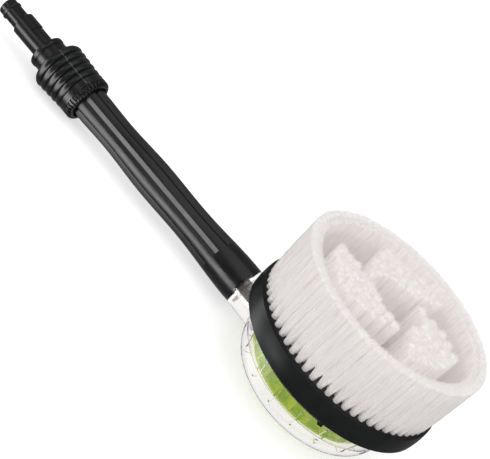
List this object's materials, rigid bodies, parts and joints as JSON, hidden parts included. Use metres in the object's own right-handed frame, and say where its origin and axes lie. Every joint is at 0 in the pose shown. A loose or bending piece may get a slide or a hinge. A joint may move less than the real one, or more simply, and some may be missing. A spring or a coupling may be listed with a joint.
{
  "type": "rotating_wash_brush",
  "caption": "Black and lime wash brush on a long grooved handle, with a clear water turbine housing and a bayonet hose plug.",
  "frame": {"origin": "where the head's spin axis meets the flat base of the clear dome", "axes": "+Z along the spin axis towards the bristle tips, +X away from the handle, the handle runs along -X"},
  "size_m": [0.448, 0.16, 0.1102],
  "materials": {
    "black_plastic": "moulded black plastic with a soft sheen",
    "dark_plastic": "extruded dark plastic",
    "satin_black": "satin black plastic band",
    "white_acetal": "moulded white acetal",
    "lime_plastic": "moulded lime green plastic",
    "clear_plastic": "clear moulded plastic",
    "black_rubber": "moulded black rubber",
    "brown_rubber": "brown rubber seal",
    "steel": "turned stainless steel",
    "bronze": "turned bearing bronze",
    "white_bristle": "tufts of fine white nylon filament"
  },
  "bodies": {
    "wand": {"handle_tube": "black_plastic", "water_pipe": "dark_plastic", "pipe_socket": "dark_plastic", "swivel_bush": "white_acetal", "swivel_seal": "black_rubber", "front_seal": "brown_rubber", "jet_nozzle": "dark_plastic", "clear_housing": "clear_plastic", "axle": "steel", "thrust_washer": "white_acetal", "deck_gasket": "black_rubber", "gear_deck": "black_plastic", "housing_clips": "black_plastic", "planet_pins": "steel", "planet_retainers": "steel", "brush_washer": "steel", "centre_screw": "steel"},
    "adapter": {"spigot": "black_plastic", "spigot_o_ring": "black_rubber", "stem_clip": "steel", "adapter_collar": "black_plastic", "grip_sleeve": "black_rubber", "knurled_ring": "black_plastic"},
    "turbine": {"turbine_wheel": "lime_plastic", "turbine_bushes": "bronze", "sun_pinion": "white_acetal"},
    "planet_1": {"planet_gear_1": "white_acetal"},
    "planet_2": {"planet_gear_2": "white_acetal"},
    "planet_3": {"planet_gear_3": "white_acetal"},
    "brush": {"ring_gear": "white_acetal", "brush_disc": "black_plastic", "brush_bush": "bronze", "brush_rim": "satin_black", "centre_cap": "black_plastic", "outer_row_tufts": "white_bristle", "second_row_tufts": "white_bristle", "clump_1_tufts": "white_bristle", "clump_2_tufts": "white_bristle", "clump_3_tufts": "white_bristle"}
  },
  "joints": [
    {"name": "brush_spin", "type": "hinge", "parent": "wand", "child": "brush", "pos_m": [0, 0, 0.056], "axis": [0, 0, 1], "continuous": true},
    {"name": "turbine_spin", "type": "hinge", "parent": "wand", "child": "turbine", "pos_m": [0, 0, 0.03], "axis": [0, 0, 1], "continuous": true},
    {"name": "planet_1_spin", "type": "hinge", "parent": "wand", "child": "planet_1", "pos_m": [0.02625, 0, 0.048], "axis": [0, 0, 1], "continuous": true},
    {"name": "planet_2_spin", "type": "hinge", "parent": "wand", "child": "planet_2", "pos_m": [-0.01312, 0.02273, 0.048], "axis": [0, 0, 1], "continuous": true},
    {"name": "planet_3_spin", "type": "hinge", "parent": "wand", "child": "planet_3", "pos_m": [-0.01312, -0.02273, 0.048], "axis": [0, 0, 1], "continuous": true},
    {"name": "adapter_swivel", "type": "hinge", "parent": "wand", "child": "adapter", "pos_m": [-0.27, 0, 0.0211], "axis": [1, 0, 0], "continuous": true}
  ],
  "couplings": [
    {"joint": "turbine_spin", "follows": "brush_spin", "ratio": -6},
    {"joint": "planet_1_spin", "follows": "brush_spin", "ratio": 2.4},
    {"joint": "planet_2_spin", "follows": "brush_spin", "ratio": 2.4},
    {"joint": "planet_3_spin", "follows": "brush_spin", "ratio": 2.4}
  ]
}
